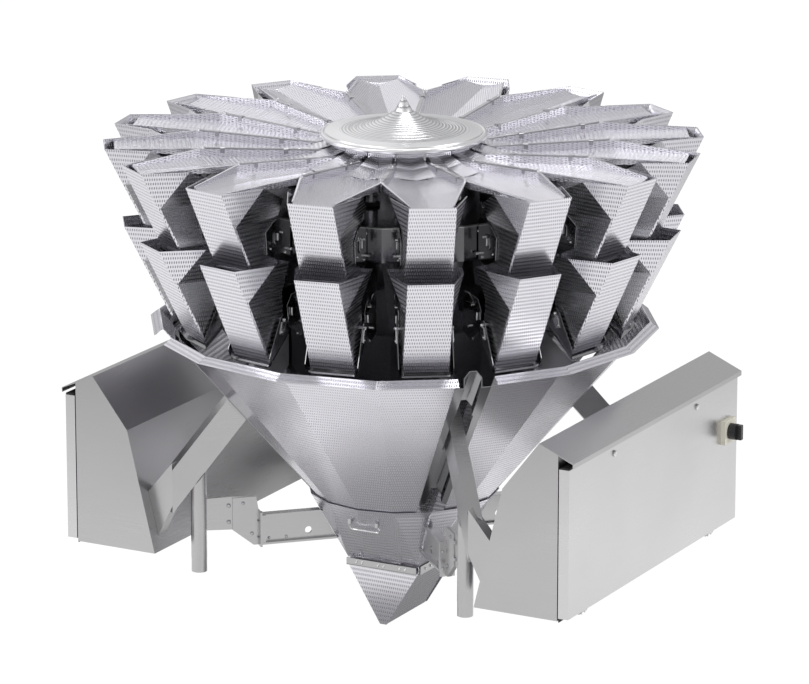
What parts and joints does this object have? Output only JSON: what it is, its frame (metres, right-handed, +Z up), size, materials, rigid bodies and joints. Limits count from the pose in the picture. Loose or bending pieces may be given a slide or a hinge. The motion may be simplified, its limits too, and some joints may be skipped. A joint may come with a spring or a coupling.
{
  "type": "multihead weigher",
  "caption": "Round combination weigher: dispersion cone and feeder pans over rings of pool and weigh hoppers, quarter cones to a flap outlet, two side cabinets.",
  "frame": {"origin": "centre of the four post feet, on the plane that they stand on", "axes": "+Z up, +X out through the door with the main switch, +Y from front to back"},
  "size_m": [1.6616, 1.6526, 1.503],
  "materials": {
    "satin_steel": "satin brushed stainless sheet and tube",
    "polished_steel": "smooth bright stainless",
    "dimpled_steel": "bright stainless sheet with an embossed pattern",
    "switch_cream": "moulded plastic",
    "switch_black": "moulded plastic"
  },
  "bodies": {
    "machine": {"support_posts": "satin_steel", "support_arms": "satin_steel", "funnel_braces": "satin_steel", "right_cabinet_shell": "satin_steel", "left_cabinet_shell": "satin_steel", "right_cabinet_hinges": "satin_steel", "left_cabinet_hinges": "satin_steel", "front_cone": "dimpled_steel", "right_cone": "dimpled_steel", "back_cone": "dimpled_steel", "left_cone": "dimpled_steel", "divider_ridges": "dimpled_steel", "outlet_funnel": "dimpled_steel", "outlet_cheeks": "dimpled_steel", "flap_rods": "polished_steel", "drive_column": "polished_steel", "feeder_stands": "polished_steel", "feeder_pans": "dimpled_steel", "pool_hoppers": "dimpled_steel", "pool_gates": "dimpled_steel", "pool_brackets": "dimpled_steel", "weigh_hoppers": "dimpled_steel", "weigh_brackets": "dimpled_steel", "dispersion_cone": "polished_steel", "cone_spindle": "polished_steel"},
    "gate_01": {"weigh_gate_01": "dimpled_steel"},
    "gate_02": {"weigh_gate_02": "dimpled_steel"},
    "gate_03": {"weigh_gate_03": "dimpled_steel"},
    "gate_04": {"weigh_gate_04": "dimpled_steel"},
    "gate_05": {"weigh_gate_05": "dimpled_steel"},
    "gate_06": {"weigh_gate_06": "dimpled_steel"},
    "gate_07": {"weigh_gate_07": "dimpled_steel"},
    "gate_08": {"weigh_gate_08": "dimpled_steel"},
    "gate_09": {"weigh_gate_09": "dimpled_steel"},
    "gate_10": {"weigh_gate_10": "dimpled_steel"},
    "gate_11": {"weigh_gate_11": "dimpled_steel"},
    "gate_12": {"weigh_gate_12": "dimpled_steel"},
    "gate_13": {"weigh_gate_13": "dimpled_steel"},
    "gate_14": {"weigh_gate_14": "dimpled_steel"},
    "gate_15": {"weigh_gate_15": "dimpled_steel"},
    "gate_16": {"weigh_gate_16": "dimpled_steel"},
    "right_door": {"right_cabinet_door": "satin_steel", "right_door_locks": "satin_steel", "main_switch_base": "switch_cream"},
    "left_door": {"left_cabinet_door": "satin_steel", "left_door_locks": "satin_steel"},
    "switch_knob": {"main_switch_knob": "switch_black"},
    "right_flap": {"outlet_flap_right": "dimpled_steel"},
    "left_flap": {"outlet_flap_left": "dimpled_steel"}
  },
  "joints": [
    {"name": "gate_01_pivot", "type": "hinge", "parent": "machine", "child": "gate_01", "pos_m": [0.11559, -0.5811, 0.813], "axis": [0.9808, 0.1951, 0], "range_deg": [0, 50]},
    {"name": "gate_02_pivot", "type": "hinge", "parent": "machine", "child": "gate_02", "pos_m": [0.32917, -0.49264, 0.813], "axis": [0.8315, 0.5556, 0], "range_deg": [0, 50]},
    {"name": "gate_03_pivot", "type": "hinge", "parent": "machine", "child": "gate_03", "pos_m": [0.49264, -0.32917, 0.813], "axis": [0.5556, 0.8315, 0], "range_deg": [0, 50]},
    {"name": "gate_04_pivot", "type": "hinge", "parent": "machine", "child": "gate_04", "pos_m": [0.5811, -0.11559, 0.813], "axis": [0.1951, 0.9808, 0], "range_deg": [0, 50]},
    {"name": "gate_05_pivot", "type": "hinge", "parent": "machine", "child": "gate_05", "pos_m": [0.5811, 0.11559, 0.813], "axis": [-0.1951, 0.9808, 0], "range_deg": [0, 50]},
    {"name": "gate_06_pivot", "type": "hinge", "parent": "machine", "child": "gate_06", "pos_m": [0.49264, 0.32917, 0.813], "axis": [-0.5556, 0.8315, 0], "range_deg": [0, 50]},
    {"name": "gate_07_pivot", "type": "hinge", "parent": "machine", "child": "gate_07", "pos_m": [0.32917, 0.49264, 0.813], "axis": [-0.8315, 0.5556, 0], "range_deg": [0, 50]},
    {"name": "gate_08_pivot", "type": "hinge", "parent": "machine", "child": "gate_08", "pos_m": [0.11559, 0.5811, 0.813], "axis": [-0.9808, 0.1951, 0], "range_deg": [0, 50]},
    {"name": "gate_09_pivot", "type": "hinge", "parent": "machine", "child": "gate_09", "pos_m": [-0.11559, 0.5811, 0.813], "axis": [-0.9808, -0.1951, 0], "range_deg": [0, 50]},
    {"name": "gate_10_pivot", "type": "hinge", "parent": "machine", "child": "gate_10", "pos_m": [-0.32917, 0.49264, 0.813], "axis": [-0.8315, -0.5556, 0], "range_deg": [0, 50]},
    {"name": "gate_11_pivot", "type": "hinge", "parent": "machine", "child": "gate_11", "pos_m": [-0.49264, 0.32917, 0.813], "axis": [-0.5556, -0.8315, 0], "range_deg": [0, 50]},
    {"name": "gate_12_pivot", "type": "hinge", "parent": "machine", "child": "gate_12", "pos_m": [-0.5811, 0.11559, 0.813], "axis": [-0.1951, -0.9808, 0], "range_deg": [0, 50]},
    {"name": "gate_13_pivot", "type": "hinge", "parent": "machine", "child": "gate_13", "pos_m": [-0.5811, -0.11559, 0.813], "axis": [0.1951, -0.9808, 0], "range_deg": [0, 50]},
    {"name": "gate_14_pivot", "type": "hinge", "parent": "machine", "child": "gate_14", "pos_m": [-0.49264, -0.32917, 0.813], "axis": [0.5556, -0.8315, 0], "range_deg": [0, 50]},
    {"name": "gate_15_pivot", "type": "hinge", "parent": "machine", "child": "gate_15", "pos_m": [-0.32917, -0.49264, 0.813], "axis": [0.8315, -0.5556, 0], "range_deg": [0, 50]},
    {"name": "gate_16_pivot", "type": "hinge", "parent": "machine", "child": "gate_16", "pos_m": [-0.11559, -0.5811, 0.813], "axis": [0.9808, -0.1951, 0], "range_deg": [0, 50]},
    {"name": "right_door_hinge", "type": "hinge", "parent": "machine", "child": "right_door", "pos_m": [0.762, 0, 0.061], "axis": [0, 1, 0], "range_deg": [0, 95]},
    {"name": "right_flap_pivot", "type": "hinge", "parent": "machine", "child": "right_flap", "pos_m": [0.105, 0, -0.007], "axis": [0, -1, 0], "range_deg": [0, 45]},
    {"name": "left_door_hinge", "type": "hinge", "parent": "machine", "child": "left_door", "pos_m": [-0.762, 0, 0.061], "axis": [0, -1, 0], "range_deg": [0, 95]},
    {"name": "left_flap_pivot", "type": "hinge", "parent": "machine", "child": "left_flap", "pos_m": [-0.105, 0, -0.007], "axis": [0, 1, 0], "range_deg": [0, 45]},
    {"name": "switch_turn", "type": "hinge", "parent": "right_door", "child": "switch_knob", "pos_m": [0.799, 0.457, 0.35], "axis": [1, 0, 0], "range_deg": [0, 90]}
  ]
}
